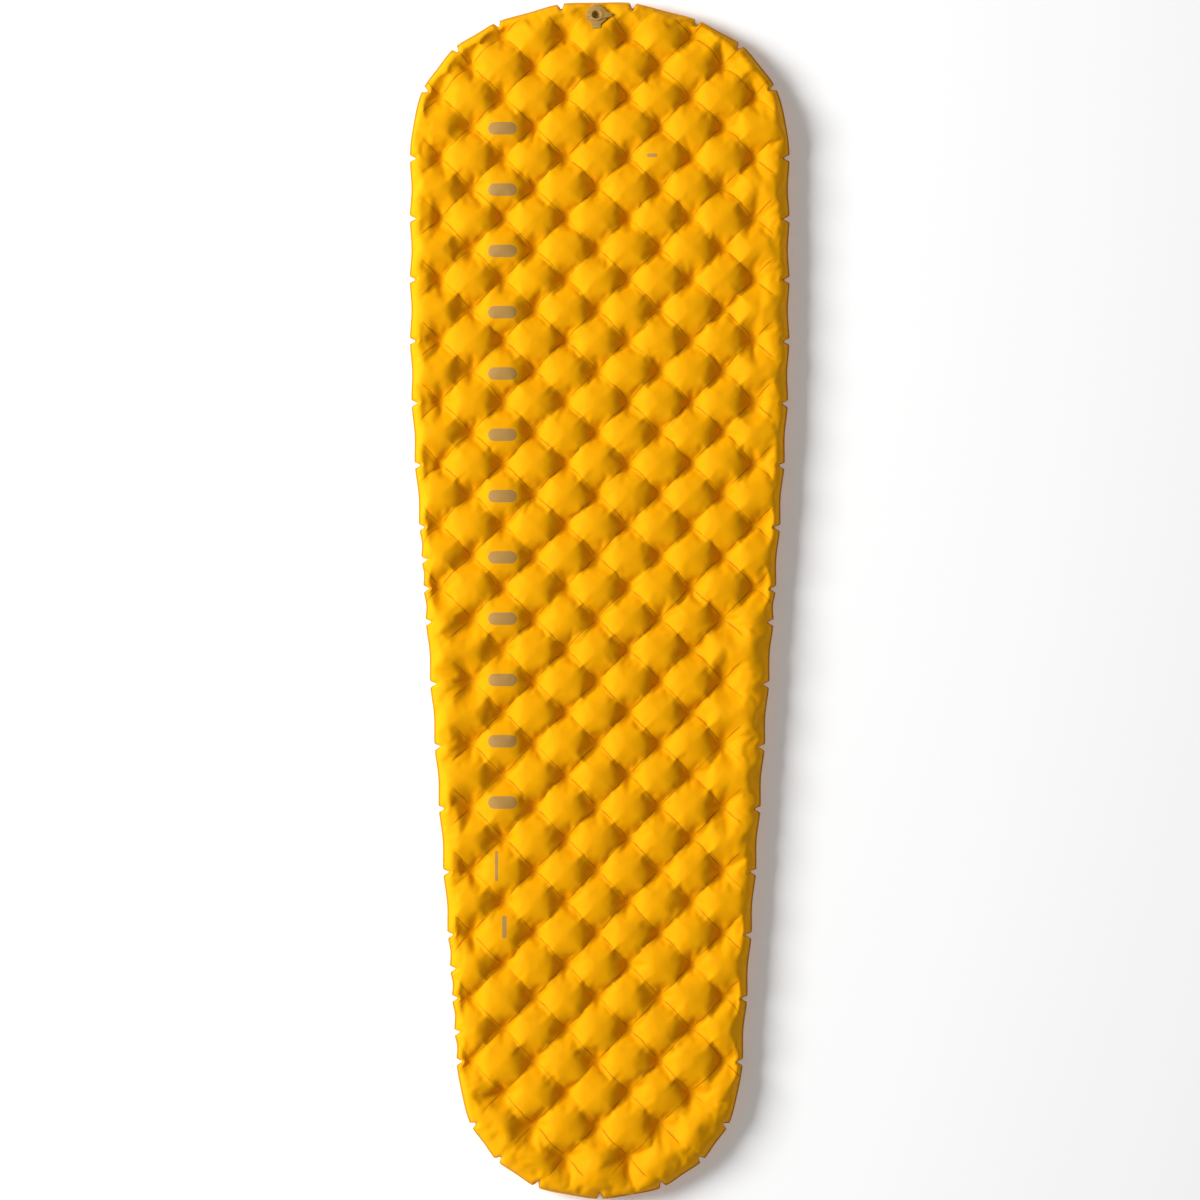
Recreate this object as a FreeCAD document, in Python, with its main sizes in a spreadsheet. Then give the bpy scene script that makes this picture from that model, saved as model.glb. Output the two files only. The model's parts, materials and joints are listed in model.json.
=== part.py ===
"""Inflatable sleeping pad with a flat two-cap valve, in millimetres.

The pad lies on its back sheet. The origin is under its middle, on the ground, +Y points to the head end,
+X to the right of someone who looks from the foot to the head, and +Z up.
Two dimpled sheets meet in the middle of the thickness, in a welded edge seam and in a lattice of spot welds.
The valve sits on the head end's shoulder and leans towards the head. Its own pieces are drawn on the
valve's axis, with z = 0 on the outer face of the fabric, and their placement moves them onto the pad.
"""
import FreeCAD, Part
import math
import os
import Sketcher

# name, millimetres or degrees, what it is
DIMENSIONS = (
    ("pad_length", 1830, "head end to foot end, over the seam"),
    ("pad_width", 580, "widest, over the seam"),
    ("pad_height", 50, "ground to the top of the cells"),
    ("taper_start", 600, "head end to where the sides begin to taper"),
    ("taper_angle", 4, "each side's taper"),
    ("head_crown_radius", 400, "outline, across the head end"),
    ("head_shoulder_radius", 200, "outline, head corners"),
    ("side_bend_radius", 3000, "outline, where the taper begins"),
    ("foot_shoulder_radius", 200, "outline, foot corners"),
    ("foot_crown_radius", 300, "outline, across the foot end"),
    ("seam_flange", 4, "seam that shows outside the sheets"),
    ("seam_band", 7, "width of the welded seam"),
    ("seam_thickness", 1.2, "both sheets fused"),
    ("sheet_wall", 1.2, "laminated fabric, thickened"),
    ("edge_round", 15, "round between a sheet's side and its face"),
    ("column_step", 47.8, "half the distance between two dots of a row"),
    ("row_step", 45.9, "distance between rows at the head end"),
    ("row_growth", 0.0441, "how the rows spread towards the foot"),
    ("row_count", 37, "rows of dots"),
    ("first_row", 56, "head end to the first row"),
    ("lattice_shift", -3.5, "sideways place of the lattice's middle column"),
    ("dot_to_edge", 24.8, "least distance from a dot to the outline"),
    ("dot_radius", 5.5, "floor of a dimple"),
    ("dimple_radius", 30, "mouth of a dimple"),
    ("valve_inset", 25.2, "head end to the valve's axis"),
    ("valve_side", -5, "sideways place of the valve's axis"),
    ("valve_height", 39.5, "ground to the fabric under the valve"),
    ("valve_tilt", 18, "lean of the valve towards the head"),
    ("seat_radius", 19, "flat of fabric under the valve"),
    ("seat_flare", 70, "slope of the fabric around the seat, from the valve's axis"),
    ("seat_rise", 14, "height of the flared fabric around the seat"),
    ("neck_hole", 14, "radius of the hole in the fabric"),
    ("flange_radius", 17.4, "valve flange inside the fabric"),
    ("flange_thickness", 1.2, "valve flange"),
    ("neck_radius", 13.9, "outside of the neck"),
    ("neck_bore", 12.6, "deflation port"),
    ("neck_depth", 5, "neck below the outer face of the fabric"),
    ("collar_radius", 15.5, "collar on the fabric"),
    ("collar_height", 1.5, "collar on the fabric"),
    ("plate_flats", 31, "octagonal plate, across flats"),
    ("plate_bottom", 1.7, "underside of the plate"),
    ("plate_top", 3.9, "top of the plate"),
    ("plug_top_radius", 12.3, "deflation plug at the plate"),
    ("plug_tip_radius", 10, "deflation plug at its tip"),
    ("plug_tip", 9, "tip of the plug below the fabric's face"),
    ("port_radius", 7.9, "inflation port"),
    ("tab_width", 13, "deflation tab"),
    ("tab_reach", 22, "deflation tab, from the axis"),
    ("tab_root", 14, "deflation tab's inner end"),
    ("tab_bottom", 2, "underside of the deflation tab"),
    ("tab_top", 3.6, "top of the deflation tab"),
    ("strap_width", 8, "deflation cap's hinge strap"),
    ("strap_wall", 0.8, "deflation cap's hinge strap"),
    ("strap_bend", 1.8, "outer radius of its bend"),
    ("strap_axis", 17, "hinge line, from the axis"),
    ("lid_radius", 10.2, "inflation cap"),
    ("lid_bottom", 4.1, "underside of the inflation cap"),
    ("lid_top", 5.7, "top of the inflation cap"),
    ("bung_top_radius", 7.6, "bung at the cap"),
    ("bung_tip_radius", 6.1, "bung at its tip"),
    ("bung_tip", 3.4, "tip of the bung below the fabric's face"),
    ("cup_top_radius", 6.9, "hollow of the bung at its mouth"),
    ("cup_floor_radius", 5.1, "hollow of the bung at its floor"),
    ("cup_floor", 2.4, "floor of the hollow below the fabric's face"),
    ("nub_radius", 2.2, "nub on the hollow's floor"),
    ("nub_height", 1.1, "nub on the hollow's floor"),
    ("pull_tip", 20, "pull tab's end centre, from the axis"),
    ("pull_radius", 3.2, "pull tab's end"),
    ("pull_hole", 1.2, "hole in the pull tab"),
    ("pull_root", 7.5, "half the pull tab's width where it leaves the cap"),
    ("pull_thickness", 1.2, "pull tab"),
    ("tongue_reach", 10.5, "flat tongue that the hinge strap meets, from the axis"),
    ("loop_width", 6, "inflation cap's hinge strap"),
    ("loop_wall", 0.7, "inflation cap's hinge strap"),
    ("loop_bend", 1.35, "outer radius of its bend"),
    ("loop_axis", 12.2, "hinge line, from the axis"),
    ("loop_level", 4.05, "hinge line, above the fabric's face"),
    ("check_top", 7.5, "top of the spoked seat below the fabric's face"),
    ("check_wall", 1.2, "spoked seat"),
    ("check_hub", 1.2, "guide hole for the stem"),
    ("vent_radius", 1.5, "vent hole in the seat"),
    ("vent_circle", 4.6, "circle of the vent holes"),
    ("vent_count", 6, "vent holes"),
    ("flap_radius", 7.2, "silicone flap"),
    ("flap_wall", 0.7, "silicone flap"),
    ("stem_radius", 1.05, "stem of the flap"),
    ("button_radius", 2.4, "press button on the stem"),
    ("button_bottom", 5.4, "underside of the button below the fabric's face"),
    ("button_top", 4, "top of the button below the fabric's face"),
)

doc = FreeCAD.newDocument("sleeping_pad")
sheet = doc.addObject("Spreadsheet::Sheet", "Dimensions")
made = []  # every sub-part, in the order in which it is written


class Size:
    """A number together with the spreadsheet expression that it comes from."""

    def __init__(self, value, text):
        self.value, self.text = value, text

    def joined(self, sign, other, value):
        other_text = other.text if isinstance(other, Size) else repr(other)
        return Size(value, f"({self.text} {sign} {other_text})")

    def __add__(self, other):
        return self.joined("+", other, self.value + number(other))

    def __sub__(self, other):
        return self.joined("-", other, self.value - number(other))

    def __mul__(self, other):
        return self.joined("*", other, self.value * number(other))

    def __truediv__(self, other):
        return self.joined("/", other, self.value / number(other))

    def __neg__(self):
        return Size(-self.value, f"(-1 * {self.text})")


class Sizes:
    """The driving dimensions by name, each a Size that reads its own cell."""

    def __init__(self):
        for row, (name, value, meaning) in enumerate(DIMENSIONS, start=1):
            sheet.set(f"A{row}", name)
            sheet.set(f"B{row}", str(value))
            sheet.set(f"C{row}", meaning)
            sheet.setAlias(f"B{row}", name)
            setattr(self, name, Size(value, f"Dimensions.{name}"))


def number(size):
    return size.value if isinstance(size, Size) else size


def drive(thing, prop, size):
    """Binds a property to the spreadsheet, or sets it where it is a plain number."""
    if isinstance(size, Size):
        thing.setExpression(prop, size.text)
    else:
        setattr(thing, prop, size)


# ---------------------------------------------------------------- sketches

def pin_point(sketch, geometry, point, axis, size):
    """Holds one coordinate of a sketch point at a Size, measured from the sketch's origin."""
    kind = "DistanceX" if axis == 0 else "DistanceY"
    if number(size) == 0:
        sketch.addConstraint(Sketcher.Constraint("PointOnObject", geometry, point, -2 if axis == 0 else -1))
        return
    if number(size) > 0:
        ends, shown = (-1, 1, geometry, point), size
    else:
        ends, shown = (geometry, point, -1, 1), -size
    index = sketch.addConstraint(Sketcher.Constraint(kind, *ends, number(shown)))
    if isinstance(shown, Size):
        sketch.setExpression(f"Constraints[{index}]", shown.text)


def draw_polygon(sketch, corners):
    """A closed outline of straight lines, with both coordinates of each corner bound to the spreadsheet."""
    places = [FreeCAD.Vector(number(x), number(y), 0) for x, y in corners]
    first = sketch.GeometryCount
    count = len(places)
    for i in range(count):
        sketch.addGeometry(Part.LineSegment(places[i], places[(i + 1) % count]))
    for i in range(count):
        following = first + (i + 1) % count
        sketch.addConstraint(Sketcher.Constraint("Coincident", first + i, 2, following, 1))
    for i, (x, y) in enumerate(corners):
        pin_point(sketch, first + i, 1, 0, x)
        pin_point(sketch, first + i, 1, 1, y)


def draw_circle(sketch, x, y, radius):
    circle = Part.Circle(FreeCAD.Vector(number(x), number(y), 0), FreeCAD.Vector(0, 0, 1), number(radius))
    index = sketch.addGeometry(circle)
    pin_point(sketch, index, 3, 0, x)
    pin_point(sketch, index, 3, 1, y)
    held = sketch.addConstraint(Sketcher.Constraint("Radius", index, number(radius)))
    if isinstance(radius, Size):
        sketch.setExpression(f"Constraints[{held}]", radius.text)


def new_body(label):
    body = doc.addObject("PartDesign::Body", label)
    body.Label = label
    return body


def new_sketch(body, name, plane="XY_Plane", height=None):
    """A sketch on one of the body's own planes, raised by height along the plane's normal."""
    sketch = body.newObject("Sketcher::SketchObject", name)
    support = next(f for f in body.Origin.OriginFeatures if f.Role == plane)
    sketch.AttachmentSupport = [(support, "")]
    sketch.MapMode = "FlatFace"
    if height is not None:
        sketch.AttachmentOffset = FreeCAD.Placement(FreeCAD.Vector(0, 0, number(height)), FreeCAD.Rotation())
        if isinstance(height, Size):
            sketch.setExpression("AttachmentOffset.Base.z", height.text)
    return sketch


def grow(body, name, sketch, length, kind="PartDesign::Pad"):
    """Adds material along a sketch's normal, or with Pocket takes it away against the normal."""
    feature = body.newObject(kind, name)
    feature.Profile = sketch
    drive(feature, "Length", length)
    return feature


def raise_block(body, name, corners, bottom, top):
    """A straight block from bottom to top with a polygon as its outline."""
    sketch = new_sketch(body, name + "_outline", height=bottom)
    draw_polygon(sketch, corners)
    return grow(body, name, sketch, top - bottom)


def turn_profile(body, name, corners, kind="PartDesign::Revolution"):
    """A turned piece, or with Groove a turned cut: corners are (radius, height)."""
    sketch = new_sketch(body, name + "_profile", plane="XZ_Plane")
    draw_polygon(sketch, corners)
    turned = body.newObject(kind, name)
    turned.Profile = sketch
    turned.ReferenceAxis = (sketch, ["V_Axis"])
    turned.Angle = 360
    return turned


def rectangle(left, right, low, high):
    return [(left, low), (right, low), (right, high), (left, high)]


# ---------------------------------------------------------------- the pad

def draw_outline(sketch, d, inset):
    """The pad's outline, moved inwards by inset.

    Both ends have a flat crown between two round shoulders, and the sides run straight and then taper to the
    foot. Arc centres stay where they are and radii shrink by the inset, so outlines are parallel.
    """
    half_width, half_length = d.pad_width.value / 2, d.pad_length.value / 2
    moved = number(inset)
    angle = math.radians(d.taper_angle.value)
    crown, shoulder, bend = d.head_crown_radius.value, d.head_shoulder_radius.value, d.side_bend_radius.value
    foot_crown, foot_shoulder = d.foot_crown_radius.value, d.foot_shoulder_radius.value

    crown_y = half_length - crown
    shoulder_x = half_width - shoulder
    shoulder_y = crown_y + math.sqrt((crown - shoulder) ** 2 - shoulder_x ** 2)
    bend_y = half_length - d.taper_start.value + bend * math.tan(angle / 2)
    # The foot shoulders touch the tapered sides and the foot crown.
    foot_y = foot_crown - half_length
    taper_drop = half_length - d.taper_start.value - foot_y
    reach = half_width - taper_drop * math.tan(angle) - foot_shoulder / math.cos(angle)
    gap = foot_crown - foot_shoulder
    lean = math.asin(reach * math.cos(angle) / gap) - angle
    foot_x = gap * math.sin(lean)
    foot_shoulder_y = foot_y - gap * math.cos(lean)
    head_join = math.atan2(shoulder_y - crown_y, shoulder_x)
    foot_join = math.atan2(foot_shoulder_y - foot_y, foot_x)

    def arc(x, y, radius, start, end):
        circle = Part.Circle(FreeCAD.Vector(x, y, 0), FreeCAD.Vector(0, 0, 1), radius - moved)
        return Part.ArcOfCircle(circle, start, end)

    half_turn = math.pi
    arcs = [
        arc(0, crown_y, crown, head_join, half_turn - head_join),
        arc(-shoulder_x, shoulder_y, shoulder, half_turn - head_join, half_turn),
        arc(bend - half_width, bend_y, bend, half_turn, half_turn + angle),
        arc(-foot_x, foot_shoulder_y, foot_shoulder, half_turn + angle, half_turn - foot_join),
        arc(0, foot_y, foot_crown, half_turn - foot_join, 2 * half_turn + foot_join),
        arc(foot_x, foot_shoulder_y, foot_shoulder, foot_join, -angle),
        arc(half_width - bend, bend_y, bend, -angle, 0),
        arc(shoulder_x, shoulder_y, shoulder, 0, head_join),
    ]
    # Straight sides join the shoulders to the bends: (arc before, arc after).
    sides = ((1, 2), (2, 3), (5, 6), (6, 7))
    lines = [Part.LineSegment(arcs[before].EndPoint, arcs[after].StartPoint) for before, after in sides]
    sketch.addGeometry(arcs + lines)
    line_after = {before: len(arcs) + i for i, (before, _) in enumerate(sides)}
    for i in range(len(arcs)):
        following = (i + 1) % len(arcs)
        if i in line_after:
            sketch.addConstraint(Sketcher.Constraint("Tangent", i, 2, line_after[i], 1))
            sketch.addConstraint(Sketcher.Constraint("Tangent", line_after[i], 2, following, 1))
        else:
            sketch.addConstraint(Sketcher.Constraint("Tangent", i, 2, following, 1))

    def hold(kind, target, size):
        index = sketch.addConstraint(Sketcher.Constraint(kind, *target, number(size)))
        sketch.setExpression(f"Constraints[{index}]", size.text)

    radii = (
        (0, d.head_crown_radius), (4, d.foot_crown_radius), (1, d.head_shoulder_radius),
        (7, d.head_shoulder_radius), (2, d.side_bend_radius), (6, d.side_bend_radius),
        (3, d.foot_shoulder_radius), (5, d.foot_shoulder_radius),
    )
    for index, radius in radii:
        hold("Radius", (index,), radius - inset)
    for crown_arc in (0, 4):
        sketch.addConstraint(Sketcher.Constraint("PointOnObject", crown_arc, 3, -2))
    hold("DistanceY", (-1, 1, 0, 3), d.pad_length / 2 - d.head_crown_radius)
    hold("DistanceY", (4, 3, -1, 1), d.pad_length / 2 - d.foot_crown_radius)
    left, right = line_after[1], line_after[6]
    for side in (left, right):
        sketch.addConstraint(Sketcher.Constraint("Vertical", side))
    hold("DistanceX", (left, 1, -1, 1), d.pad_width / 2 - inset)
    hold("DistanceX", (-1, 1, right, 2), d.pad_width / 2 - inset)


def slab(body, name, d, inset, bottom, top):
    """A flat slab with the pad's outline."""
    sketch = new_sketch(body, name + "_outline", height=bottom)
    draw_outline(sketch, d, inset)
    return grow(body, name, sketch, top - bottom)


def half_pillow(name, d, inset, top):
    """The upper half of the pad as one smooth solid: a slab whose upper edge is rounded."""
    body = new_body(name)
    block = slab(body, name + "_slab", d, inset, d.pad_height / 2 + d.seam_thickness / 2, top)
    doc.recompute()
    level = block.Shape.BoundBox.ZMax
    rim = [
        f"Edge{i}" for i, edge in enumerate(block.Shape.Edges, start=1)
        if edge.BoundBox.ZMin > level - 0.01
    ]
    rounded = body.newObject("PartDesign::Fillet", name + "_round")
    rounded.Base = (block, rim)
    drive(rounded, "Radius", d.edge_round - (inset - d.seam_flange))
    return body


def dot_centres(d):
    """The middle of every spot weld: staggered rows, as wide as the edge allows."""
    limit = doc.addObject("Sketcher::SketchObject", "dot_limit")
    draw_outline(limit, d, d.dot_to_edge)
    doc.recompute()
    allowed = Part.Face(limit.Shape.Wires[0])
    centres = []
    for row in range(int(d.row_count.value)):
        inset = d.first_row.value + d.row_step.value * row + d.row_growth.value * row ** 2
        y = d.pad_length.value / 2 - inset
        for column in range(-6, 7):
            if (row + column) % 2 == 1:
                x = d.column_step.value * column
                if allowed.isInside(FreeCAD.Vector(x, y, 0), 0.01, True):
                    centres.append(FreeCAD.Vector(x + d.lattice_shift.value, y, 0))
    return centres


def cone(radius, slope, start, end):
    """A cone about Z from height start to end, whose radius at height 0 is radius and grows by slope."""
    low, high = radius + slope * start, radius + slope * end
    return Part.makeCone(low, high, end - start, FreeCAD.Vector(0, 0, start))


def wall_shift(slope, wall):
    """How much wider a cone has to be, at one height, to leave a wall around a narrower one."""
    return wall * math.sqrt(1 + slope ** 2)


def dimple_cutter(name, d, centres, outside):
    """All dimples of one sheet as one object: the dimples themselves, or with their fabric around them."""
    seam_top = (d.pad_height.value + d.seam_thickness.value) / 2
    floor = seam_top + d.sheet_wall.value
    top = d.pad_height.value
    slope = (d.dimple_radius.value - d.dot_radius.value) / (top - floor)
    past = 1
    if outside:
        shape = cone(d.dot_radius.value, slope, 0, top - floor + past)
    else:
        radius = d.dot_radius.value + wall_shift(slope, d.sheet_wall.value)
        shape = cone(radius, slope, seam_top - floor - past, top - floor + past)
    shape.translate(FreeCAD.Vector(0, 0, floor))
    cutter = doc.addObject("Part::Feature", name)
    cutter.Shape = Part.makeCompound([shape.translated(centre) for centre in centres])
    return cutter


def cut(name, base, tool):
    result = doc.addObject("Part::Cut", name)
    result.Base, result.Tool = base, tool
    return result


def place_on_valve(thing, d):
    """Moves a piece that is drawn on the valve's axis to the valve's place on the pad."""
    place = (d.valve_side, d.pad_length / 2 - d.valve_inset, d.valve_height)
    lean = FreeCAD.Rotation(FreeCAD.Vector(1, 0, 0), -d.valve_tilt.value)
    thing.Placement = FreeCAD.Placement(FreeCAD.Vector(*[size.value for size in place]), lean)
    for axis, size in zip("xyz", place):
        drive(thing, f"Placement.Base.{axis}", size)


def make_pad(d):
    """Both sheets, the seam around them and the spot welds between them."""
    centres = dot_centres(d)
    print("spot welds:", len(centres))
    outside = half_pillow("sheet_outside", d, d.seam_flange, d.pad_height)
    inside = half_pillow("sheet_inside", d, d.seam_flange + d.sheet_wall, d.pad_height - d.sheet_wall)
    outer = cut("dimpled_outside", outside, dimple_cutter("dimples", d, centres, True))
    inner = cut("dimpled_inside", inside, dimple_cutter("fabric_around_dimples", d, centres, False))

    lower = doc.addObject("Part::Mirroring", "bottom_sheet")
    lower.Source = cut("plain_sheet", outer, inner)
    lower.Normal = FreeCAD.Vector(0, 0, 1)
    drive(lower, "Base.z", d.pad_height / 2)

    # The flat seat of the valve, with fabric that rises around it.
    slope = math.tan(math.radians(d.seat_flare.value))
    seat = doc.addObject("Part::Feature", "valve_seat")
    seat.Shape = cone(d.seat_radius.value, slope, 0, d.seat_rise.value)
    place_on_valve(seat, d)
    under = doc.addObject("Part::Feature", "fabric_around_valve_seat")
    wider = d.seat_radius.value + wall_shift(slope, d.sheet_wall.value)
    under.Shape = cone(wider, slope, -d.sheet_wall.value, d.seat_rise.value)
    place_on_valve(under, d)
    hole = new_body("neck_hole")
    turn_profile(hole, "neck_hole_core", rectangle(0, d.neck_hole, -d.neck_depth, d.sheet_wall))
    place_on_valve(hole, d)
    shell = cut("seated_sheet", cut("seated_outside", outer, seat), cut("seated_inside", inner, under))
    upper = cut("top_sheet", shell, hole)

    seam_bottom = d.pad_height / 2 - d.seam_thickness / 2
    seam = new_body("edge_seam")
    slab(seam, "seam_band", d, Size(0, "0"), seam_bottom, seam_bottom + d.seam_thickness)
    opening = new_sketch(seam, "seam_inner_outline", height=seam_bottom)
    draw_outline(opening, d, d.seam_band)
    inner_edge = grow(seam, "seam_inner_edge", opening, d.seam_thickness, "PartDesign::Pocket")
    inner_edge.Reversed = True

    welds = doc.addObject("Part::Feature", "spot_welds")
    disc = Part.makeCylinder(d.dot_radius.value, d.seam_thickness.value)
    disc.translate(FreeCAD.Vector(0, 0, seam_bottom.value))
    welds.Shape = Part.makeCompound([disc.translated(centre) for centre in centres])
    made.extend((upper, lower, seam, welds))


# ---------------------------------------------------------------- the valve, drawn on its own axis

def make_valve_base(d):
    """Welded ring: a flange under the fabric, the neck through it and a collar on top."""
    body = new_body("valve_base")
    flange_top = -d.sheet_wall
    flange_bottom = flange_top - d.flange_thickness
    profile = [
        (d.neck_bore, -d.neck_depth), (d.neck_radius, -d.neck_depth), (d.neck_radius, flange_bottom),
        (d.flange_radius, flange_bottom), (d.flange_radius, flange_top), (d.neck_radius, flange_top),
        (d.neck_radius, 0), (d.collar_radius, 0), (d.collar_radius, d.collar_height),
        (d.neck_bore, d.collar_height),
    ]
    turn_profile(body, "neck", profile)
    half = d.strap_width / 2
    raise_block(body, "strap_lug", rectangle(-half, half, d.neck_radius - 0.5, d.plate_flats / 2),
                Size(0, "0"), d.collar_height)
    return body


def make_deflate_cap(d):
    """Octagonal plate with a tapered plug that holds the inflation port and the check valve's seat."""
    body = new_body("deflate_cap")
    flat = d.plate_flats / 2
    corner = flat * 0.41421
    octagon = [
        (flat, -corner), (flat, corner), (corner, flat), (-corner, flat),
        (-flat, corner), (-flat, -corner), (-corner, -flat), (corner, -flat),
    ]
    raise_block(body, "plate", octagon, d.plate_bottom, d.plate_top)
    turn_profile(body, "plug", [
        (0, -d.plug_tip), (d.plug_tip_radius, -d.plug_tip), (d.plug_top_radius, d.plate_bottom),
        (0, d.plate_bottom),
    ])
    half = d.tab_width / 2
    raise_block(body, "tab", rectangle(-half, half, -d.tab_reach, -d.tab_root), d.tab_bottom, d.tab_top)
    turn_profile(body, "port", rectangle(0, d.port_radius, -d.check_top, d.plate_top), "PartDesign::Groove")
    seat_bottom = -d.check_top - d.check_wall
    turn_profile(body, "flap_recess", rectangle(0, d.port_radius, -d.plug_tip, seat_bottom),
                 "PartDesign::Groove")
    turn_profile(body, "stem_guide", rectangle(0, d.check_hub, seat_bottom, -d.check_top),
                 "PartDesign::Groove")
    vent_sketch = new_sketch(body, "vent_place", height=-d.check_top)
    draw_circle(vent_sketch, d.vent_circle, 0, d.vent_radius)
    vent = grow(body, "vent", vent_sketch, d.check_wall, "PartDesign::Pocket")
    doc.recompute()
    vents = body.newObject("PartDesign::PolarPattern", "vents")
    vents.Originals = [vent]
    vents.Axis = (vent_sketch, ["N_Axis"])
    vents.Angle = 360
    drive(vents, "Occurrences", d.vent_count)
    body.Tip = vents
    return body


def make_inflate_cap(d):
    """Small round cap on a hollow bung, with a pull tab opposite its hinge."""
    body = new_body("inflate_cap")
    turn_profile(body, "bung", [
        (0, -d.bung_tip), (d.bung_tip_radius, -d.bung_tip), (d.bung_top_radius, d.lid_bottom),
        (d.lid_radius, d.lid_bottom), (d.lid_radius, d.lid_top), (0, d.lid_top),
    ])
    half = d.loop_width / 2
    raise_block(body, "tongue", rectangle(-d.tongue_reach, -d.bung_top_radius, -half, half),
                d.lid_bottom, d.lid_top)
    tab = [
        (0, -d.lid_radius + 0.2), (d.pull_root, -d.pull_root), (d.pull_tip, -d.pull_radius),
        (d.pull_tip, d.pull_radius), (d.pull_root, d.pull_root), (0, d.lid_radius - 0.2),
    ]
    pull_top = d.lid_bottom + d.pull_thickness
    raise_block(body, "pull_tab", tab, d.lid_bottom, pull_top)
    end_sketch = new_sketch(body, "pull_end_outline", height=d.lid_bottom)
    draw_circle(end_sketch, d.pull_tip, 0, d.pull_radius)
    grow(body, "pull_end", end_sketch, d.pull_thickness)
    hole_sketch = new_sketch(body, "pull_hole_outline", height=pull_top)
    draw_circle(hole_sketch, d.pull_tip, 0, d.pull_hole)
    grow(body, "pull_hole", hole_sketch, d.pull_thickness, "PartDesign::Pocket")
    nub_top = -d.cup_floor + d.nub_height
    turn_profile(body, "cup", [
        (0, nub_top), (d.nub_radius / 2, nub_top), (d.nub_radius, -d.cup_floor),
        (d.cup_floor_radius, -d.cup_floor), (d.cup_top_radius, d.lid_top), (0, d.lid_top),
    ], "PartDesign::Groove")
    return body


def make_check_flap(d):
    """Silicone flap under the seat, with the stem and button that hold it and press it open."""
    body = new_body("check_flap")
    seat_bottom = -d.check_top - d.check_wall
    turn_profile(body, "flap", [
        (0, seat_bottom - d.flap_wall), (d.flap_radius, seat_bottom - d.flap_wall),
        (d.flap_radius, seat_bottom), (d.stem_radius, seat_bottom), (d.stem_radius, -d.button_bottom),
        (d.button_radius, -d.button_bottom), (d.button_radius, -d.button_top), (0, -d.button_top),
    ])
    return body


def draw_path(sketch, corners):
    """A closed outline of lines and arcs, with both coordinates of each corner bound to the spreadsheet.

    A corner is (u, v), or (u, v, centre u, centre v, turn) where an arc leads to the next one: turn is 1 for
    an anticlockwise arc and -1 for a clockwise one.
    """
    first = sketch.GeometryCount
    count = len(corners)
    ends = []
    for i, corner in enumerate(corners):
        following = corners[(i + 1) % count]
        here = FreeCAD.Vector(number(corner[0]), number(corner[1]), 0)
        there = FreeCAD.Vector(number(following[0]), number(following[1]), 0)
        if len(corner) == 2:
            sketch.addGeometry(Part.LineSegment(here, there))
            ends.append((1, 2))
            continue
        middle = FreeCAD.Vector(number(corner[2]), number(corner[3]), 0)
        turn = corner[4]
        start, end = (here, there) if turn > 0 else (there, here)
        angles = [math.atan2(p.y - middle.y, p.x - middle.x) for p in (start, end)]
        circle = Part.Circle(middle, FreeCAD.Vector(0, 0, 1), (here - middle).Length)
        sketch.addGeometry(Part.ArcOfCircle(circle, angles[0], angles[1]))
        ends.append((1, 2) if turn > 0 else (2, 1))
    for i in range(count):
        j = (i + 1) % count
        sketch.addConstraint(Sketcher.Constraint("Coincident", first + i, ends[i][1], first + j, ends[j][0]))
    for i, corner in enumerate(corners):
        pin_point(sketch, first + i, ends[i][0], 0, corner[0])
        pin_point(sketch, first + i, ends[i][0], 1, corner[1])
        if len(corner) > 2:
            pin_point(sketch, first + i, 3, 0, corner[2])


def make_strap(name, plane, corners, width):
    """A strap: its side view, drawn through the valve's axis, as wide as given."""
    body = new_body(name)
    sketch = new_sketch(body, name + "_side", plane=plane)
    draw_path(sketch, corners)
    strip = grow(body, name + "_strip", sketch, width)
    strip.Midplane = True
    return body


def make_deflate_strap(d):
    """Living hinge: a U from the collar's lug, out over the hinge line and back to the plate's edge."""
    root, line, wall = d.plate_flats / 2, d.strap_axis, d.strap_wall
    top = d.plate_top
    level = top - d.strap_bend
    bottom = level - d.strap_bend
    return make_strap("deflate_strap", "YZ_Plane", [
        (root, bottom), (line, bottom, line, level, 1), (line, top), (root, top),
        (root, top - wall), (line, top - wall, line, level, -1), (line, bottom + wall), (root, bottom + wall),
    ], d.strap_width)


def make_inflate_strap(d):
    """Living hinge: from the cap's tongue, over the hinge line and down onto the plate."""
    line, level, outer, wall = -d.loop_axis, d.loop_level, d.loop_bend, d.loop_wall
    root, foot = -d.tongue_reach, d.plate_top
    inner = outer - wall
    return make_strap("inflate_strap", "XZ_Plane", [
        (root, level + outer), (line, level + outer, line, level, 1), (line - outer, level),
        (line - outer, foot), (line - inner, foot), (line - inner, level, line, level, -1),
        (line, level + inner), (root, level + inner),
    ], d.loop_width)


# ---------------------------------------------------------------- everything together

def main():
    d = Sizes()
    doc.recompute()
    make_pad(d)
    valve = [
        make_valve_base(d), make_deflate_cap(d), make_deflate_strap(d),
        make_inflate_cap(d), make_inflate_strap(d), make_check_flap(d),
    ]
    for piece in valve:
        place_on_valve(piece, d)
    made.extend(valve)
    doc.recompute()

    broken = [thing.Name for thing in doc.Objects if {"Invalid", "Error"} & set(thing.State)]
    if broken:
        raise SystemExit(f"these objects failed: {broken}")
    for piece in made:
        if piece.Shape.isNull() or not piece.Shape.isValid():
            raise SystemExit(f"{piece.Label} has no valid shape")

    os.makedirs("parts", exist_ok=True)
    for piece in made:
        box = piece.Shape.BoundBox
        print(f"{piece.Label:14} {piece.Shape.Volume / 1000:9.3f} cm3 {len(piece.Shape.Solids):4} solids "
              f"z {box.ZMin:6.2f} to {box.ZMax:6.2f}")
        piece.Shape.exportStep(f"parts/{piece.Label}.step")


main()
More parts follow.
